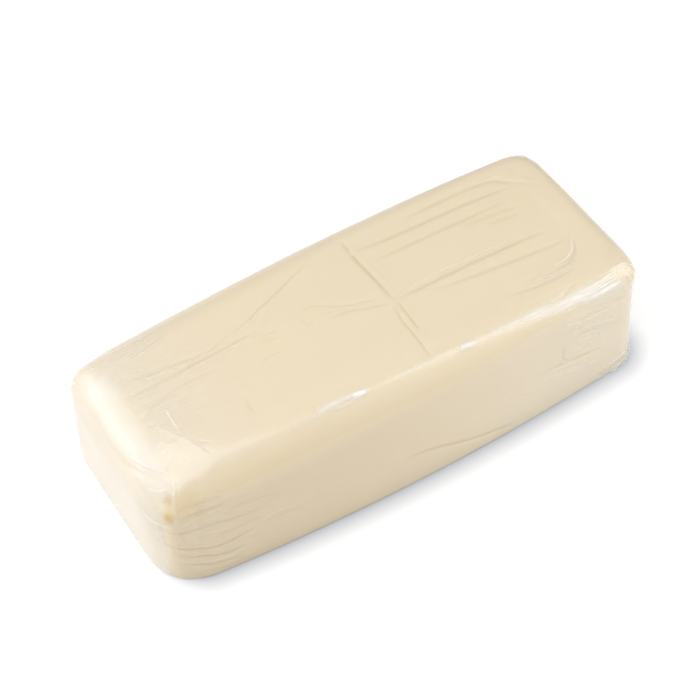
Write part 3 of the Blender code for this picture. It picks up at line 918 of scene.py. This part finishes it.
def pasta_filata_cheese():
    """Low-moisture mozzarella: dense cream curd, waxy and slightly translucent.

    The curd is a warm cream with slow paler and deeper patches, drawn out along the
    loaf by the stretching. It is yellower along the foot of its rounded long edges, most
    at the left. It has painted shade in its pressed lines, on its upright sides and along
    its back edge, and the film's fine creases are printed on it.
    """
    material, tree = new_material("low_moisture_mozzarella_moulded")
    place = add_node(tree, "TexCoord").outputs["Object"]
    stretched = add_node(tree, "Mapping", None, {"Vector": place, "Scale": per_metre(PATCH_SIZE)})
    patches = add_node(tree, "TexNoise", None, {"Vector": stretched, **STREAK_NOISE})
    edge_yellow = add_node(tree, "Attribute", {"attribute_name": "edge_yellow"})
    # painted shade on the upright sides and the back edge
    painted_shade = add_node(tree, "Attribute", {"attribute_name": "painted_shade"})
    yellowed = add_node(tree, "Attribute", {"attribute_name": "yellowed"})
    groove = sharp_line(tree, "groove")
    # painted shade along the sharp pressed lines
    pressed = add_node(tree, "Math", {"operation": "MULTIPLY"}, {0: groove, 1: PRESSED_SHADE_SHARE})
    colour = srgb(CURD_DEEP)
    for share, tone in (
            (patches.outputs["Fac"], CURD_PALE),
            (edge_yellow.outputs["Fac"], CURD_EDGE_YELLOW),
            (painted_shade.outputs["Fac"], CURD_PAINTED_SHADE),
            (pressed.outputs[0], CURD_PRESSED_SHADE),
            (yellowed.outputs["Fac"], CURD_YELLOWED)):
        mixed = add_node(tree, "Mix", {"data_type": "RGBA"}, {0: share, 6: colour, 7: srgb(tone)})
        colour = mixed.outputs[2]
    curd = add_node(tree, "TexNoise", None, {
        "Vector": place, "Scale": 1 / CURD_GRAIN, "Detail": 4.0, "Roughness": 0.6})
    grained = add_node(tree, "Bump", None, {
        "Height": curd, "Strength": CURD_GRAIN_STRENGTH, "Distance": CURD_GRAIN_DEPTH})
    printed = add_node(tree, "Bump", None, {
        "Height": fine_creases(tree, place), "Strength": PRINT_STRENGTH,
        "Distance": CREASE_DEPTH, "Normal": grained})
    lined = add_node(tree, "Bump", {"invert": True}, {
        "Height": groove, "Strength": 1.0, "Distance": LINE_DEPTH, "Normal": printed})
    shader = add_node(tree, "BsdfPrincipled", None, {
        "Base Color": colour,
        "Roughness": CURD_ROUGHNESS,
        "IOR": CURD_IOR,
        "Subsurface Weight": CURD_TRANSLUCENCE,
        "Subsurface Radius": CURD_DEPTH_SHARES,
        "Subsurface Scale": CURD_DEPTH,
        "Normal": lined,
    })
    add_node(tree, "OutputMaterial", None, {"Surface": shader})
    return material


def polyolefin_film():
    """Polyolefin shrink film: clear, thin and glossy, drawn tight over the curd.

    It mirrors the lamps in streaks that its creases break up, and it turns milky
    where it is loose, folded or stands off the cheese. Its milk also paints the highlight
    round the left rim, a glancing reflection on the left end face, a sheen towards the
    right and the highlight streak along the front edge.
    """
    material, tree = new_material("polyolefin_film_heat_shrunk")
    place = add_node(tree, "TexCoord").outputs["Object"]
    creases = fine_creases(tree, place)
    creased = add_node(tree, "Bump", None, {
        "Height": creases, "Strength": 1.0, "Distance": CREASE_DEPTH})
    crest = sharp_line(tree, "crest")
    lines = add_node(tree, "Math", {"operation": "SUBTRACT"}, {
        0: crest, 1: sharp_line(tree, "groove")})
    normal = add_node(tree, "Bump", None, {
        "Height": lines, "Strength": 1.0, "Distance": LINE_DEPTH, "Normal": creased})

    # how milky: evenly, which also paints highlight and reflection; unevenly in streaky bands along
    # the front edge, which paint its highlight streak; and on creases and crests
    veiled = add_node(tree, "Attribute", {"attribute_name": "veil_and_sheen"})
    # bands that paint the highlight streak along the front edge
    stranded = add_node(tree, "Attribute", {"attribute_name": "streak_strands"})
    stretched = add_node(tree, "Mapping", None, {"Vector": place, "Scale": per_metre(STRAND_SIZE)})
    streak_strands = add_node(tree, "TexNoise", None, {"Vector": stretched, **STREAK_NOISE})
    uneven = add_node(tree, "MapRange", None, {
        "Value": streak_strands, "From Min": 0.3, "From Max": 0.7,
        "To Min": STRAND_RANGE[0], "To Max": STRAND_RANGE[1]})
    gathered = add_node(tree, "Math", {"operation": "MULTIPLY"}, {
        0: stranded.outputs["Fac"], 1: uneven})
    creased_milk = add_node(tree, "MapRange", None, {
        "Value": creases, "From Min": 0.5, "From Max": 0.75, "To Min": 0.0, "To Max": CREASE_MILK})
    crested_milk = add_node(tree, "Math", {"operation": "MULTIPLY"}, {0: crest, 1: CREST_MILK})
    milky = veiled.outputs["Fac"]
    for more in (gathered, creased_milk, crested_milk):
        milky = add_node(tree, "Math", {"operation": "ADD"}, {0: milky, 1: more})
    milky = add_node(tree, "Math", {"operation": "MINIMUM"}, {0: milky, 1: MILKIEST})
    clear = add_node(tree, "BsdfTransparent", None, {"Color": FILM_CLEAR})
    milk = add_node(tree, "BsdfPrincipled", None, {
        "Base Color": srgb(FILM_MILK_SHEEN), "Roughness": FILM_MILK_ROUGHNESS, "Normal": normal})
    body = add_node(tree, "MixShader", None, {0: milky, 1: clear, 2: milk})

    # what it mirrors: more at a glance than a flat sheet would, as it isn't quite flat
    facing_away = add_node(tree, "LayerWeight", None, {"Blend": 0.5, "Normal": normal})
    glance = add_node(tree, "Math", {"operation": "POWER"}, {
        0: facing_away.outputs["Facing"], 1: MIRROR_FALLOFF})
    mirror = add_node(tree, "MapRange", None, {
        "Value": glance, "To Min": MIRROR_HEAD_ON, "To Max": MIRROR_GLANCING})
    crisp = add_node(tree, "BsdfGlossy", None, {
        "Color": srgb(WHITE), "Roughness": CRISP_ROUGHNESS, "Normal": normal})
    spread = add_node(tree, "BsdfGlossy", None, {
        "Color": srgb(WHITE), "Roughness": SPREAD_ROUGHNESS, "Normal": normal})
    gloss = add_node(tree, "MixShader", None, {0: SPREAD_SHARE, 1: crisp, 2: spread})
    surface = add_node(tree, "MixShader", None, {0: mirror, 1: body, 2: gloss})
    add_node(tree, "OutputMaterial", None, {"Surface": surface})
    return material


def white_paper():
    """Matt white paper under the loaf, bright enough to burn out to white.

    A soft contact shadow is painted into its colour and its glow in the last millimetres before the
    loaf's foot.
    """
    material, tree = new_material("matt_white_paper")
    place = add_node(tree, "TexCoord").outputs["Object"]
    x, y, _ = add_node(tree, "SeparateXYZ", None, {0: place}).outputs
    away = []
    for axis, middle in zip((x, y), FOOT_MIDDLE):
        from_middle = add_node(tree, "Math", {"operation": "SUBTRACT"}, {0: axis, 1: middle})
        away.append(add_node(tree, "Math", {"operation": "ABSOLUTE"}, {0: from_middle}))
    squared = add_node(tree, "Math", {"operation": "MULTIPLY"}, {0: x, 1: x})
    bow = add_node(tree, "Math", {"operation": "MULTIPLY"}, {0: squared, 1: FOOT_BOW})
    away[1] = add_node(tree, "Math", {"operation": "ADD"}, {0: away[1], 1: bow})
    past = []
    for apart, reach in zip(away, FOOT_REACH):
        over = add_node(tree, "Math", {"operation": "SUBTRACT"}, {0: apart, 1: reach - FOOT_CORNER})
        past.append(add_node(tree, "Math", {"operation": "MAXIMUM"}, {0: over, 1: 0.0}))
    corner = add_node(tree, "CombineXYZ", None, {0: past[0], 1: past[1]})
    distance = add_node(tree, "VectorMath", {"operation": "LENGTH"}, {0: corner})
    near = add_node(tree, "MapRange", {"clamp": True}, {
        "Value": distance.outputs["Value"], "From Min": FOOT_CORNER,
        "From Max": FOOT_CORNER + FOOT_FADE, "To Min": 1.0, "To Max": 0.0})
    # painted contact shadow, darkest at the loaf's foot
    shade = add_node(tree, "Math", {"operation": "POWER"}, {0: near, 1: FOOT_FALLOFF})
    level = add_node(tree, "Mix", {"data_type": "RGBA"}, {
        0: shade, 6: srgb(WHITE), 7: srgb(PAPER_SHADE)}).outputs[2]
    tone = add_node(tree, "Mix", {"data_type": "RGBA", "blend_type": "MULTIPLY"}, {
        0: 1.0, 6: level, 7: srgb(PAPER_GREY)}).outputs[2]
    shader = add_node(tree, "BsdfPrincipled", None, {
        "Base Color": tone,
        "Roughness": 1.0,
        "Specular IOR Level": 0.0,
        "Emission Color": level,
        "Emission Strength": PAPER_GLOW,
    })
    add_node(tree, "OutputMaterial", None, {"Surface": shader})
    return material


# ---- camera, floor and light -----------------------------------------------
CAMERA_AZIMUTH = -32.29      # degrees, 0 looks along +Y
CAMERA_ELEVATION = 49.06
CAMERA_DISTANCE = 0.8318     # from the middle of the loaf
CAMERA_LENS = 86.53          # mm on a 36 mm sensor
CAMERA_SHIFT = (-0.0140, 0.0027)  # in sensor widths

CAMERA_SENSOR = 36.0         # mm

WORLD_STRENGTH = 0.33
ENERGY_OF_RADIANCE = 4.0     # watts of a lamp of 1 square metre and a radiance of 1
# lamps: azimuth and elevation from the loaf, distance in m, width and height in m, radiance
LAMPS = {
    "left_window": (-113.0, 26.0, 1.6, (2.0, 1.3), 1.10),
    "low_window": (-128.0, 12.0, 1.5, (0.9, 0.6), 1.2),
    "front_strip": (42.0, 35.0, 0.8, (0.14, 0.90), 2.7),
    "right_fill": (62.0, 22.0, 1.0, (0.56, 0.44), 2.45),
    "top_left_fill": (-70.0, 68.0, 1.0, (1.0, 0.75), 2.10),
    "ceiling_panel": (150.0, 52.0, 1.6, (1.4, 1.2), 0.20),
}
# the loaf's foot on the paper, where the painted soft contact shadow starts
FOOT_MIDDLE = (0.0055, -0.004)
FOOT_REACH = (0.1305, 0.0565)
FOOT_BOW = 0.4               # how much less deep the foot is at the ends, times x squared
FOOT_CORNER = 0.012
FOOT_FADE = 0.0175
FOOT_FALLOFF = 1.6           # the power by which the painted shadow fades from the foot
FLOOR_SIZE = 4.0
FLOOR_BELOW = 0.0002         # under the loaf's base, so that the two don't flicker


def unit(azimuth, elevation):
    """Direction from the loaf towards an azimuth and an elevation in degrees."""
    a, e = math.radians(azimuth), math.radians(elevation)
    return Vector((math.sin(a) * math.cos(e), -math.cos(a) * math.cos(e), math.sin(e)))


def facing(place, target):
    """Turned to look along -Z from the place to the target, with +Y up."""
    turn = (target - place).to_track_quat("-Z", "Y")
    return Matrix.Translation(place) @ turn.to_matrix().to_4x4()


def add_camera():
    middle = Vector((0.0, 0.0, HEIGHT / 2))
    data = bpy.data.cameras.new("camera")
    data.sensor_width = CAMERA_SENSOR
    data.lens = CAMERA_LENS
    data.shift_x, data.shift_y = CAMERA_SHIFT
    data.clip_start = 0.01
    camera = bpy.data.objects.new("camera", data)
    bpy.context.collection.objects.link(camera)
    place = middle + unit(CAMERA_AZIMUTH, CAMERA_ELEVATION) * CAMERA_DISTANCE
    camera.matrix_world = facing(place, middle)
    bpy.context.scene.camera = camera


def add_floor():
    grid = bmesh.new()
    bmesh.ops.create_grid(grid, x_segments=1, y_segments=1, size=FLOOR_SIZE)
    bmesh.ops.translate(grid, vec=(0.0, 0.0, -FLOOR_BELOW), verts=grid.verts)
    mesh = bpy.data.meshes.new("floor")
    grid.to_mesh(mesh)
    grid.free()
    mesh.materials.append(white_paper())
    floor = bpy.data.objects.new("floor", mesh)
    bpy.context.collection.objects.link(floor)


def add_lamps():
    middle = Vector((0.0, 0.0, HEIGHT / 2))
    for name, (azimuth, elevation, distance, size, radiance) in LAMPS.items():
        data = bpy.data.lights.new(name, "AREA")
        data.shape = "RECTANGLE"
        data.size, data.size_y = size
        data.energy = ENERGY_OF_RADIANCE * radiance * size[0] * size[1]
        lamp = bpy.data.objects.new(name, data)
        bpy.context.collection.objects.link(lamp)
        lamp.matrix_world = facing(middle + unit(azimuth, elevation) * distance, middle)
        lamp.visible_camera = False


def add_world():
    world = bpy.data.worlds.new("white_room")
    world.use_nodes = True
    background = world.node_tree.nodes["Background"]
    background.inputs["Color"].default_value = (1.0, 1.0, 1.0, 1.0)
    background.inputs["Strength"].default_value = WORLD_STRENGTH
    bpy.context.scene.world = world
    bpy.context.scene.view_settings.view_transform = "Standard"


def main():
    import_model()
    add_camera()
    add_world()
    add_lamps()
    add_floor()
    loaf_and_film()


main()
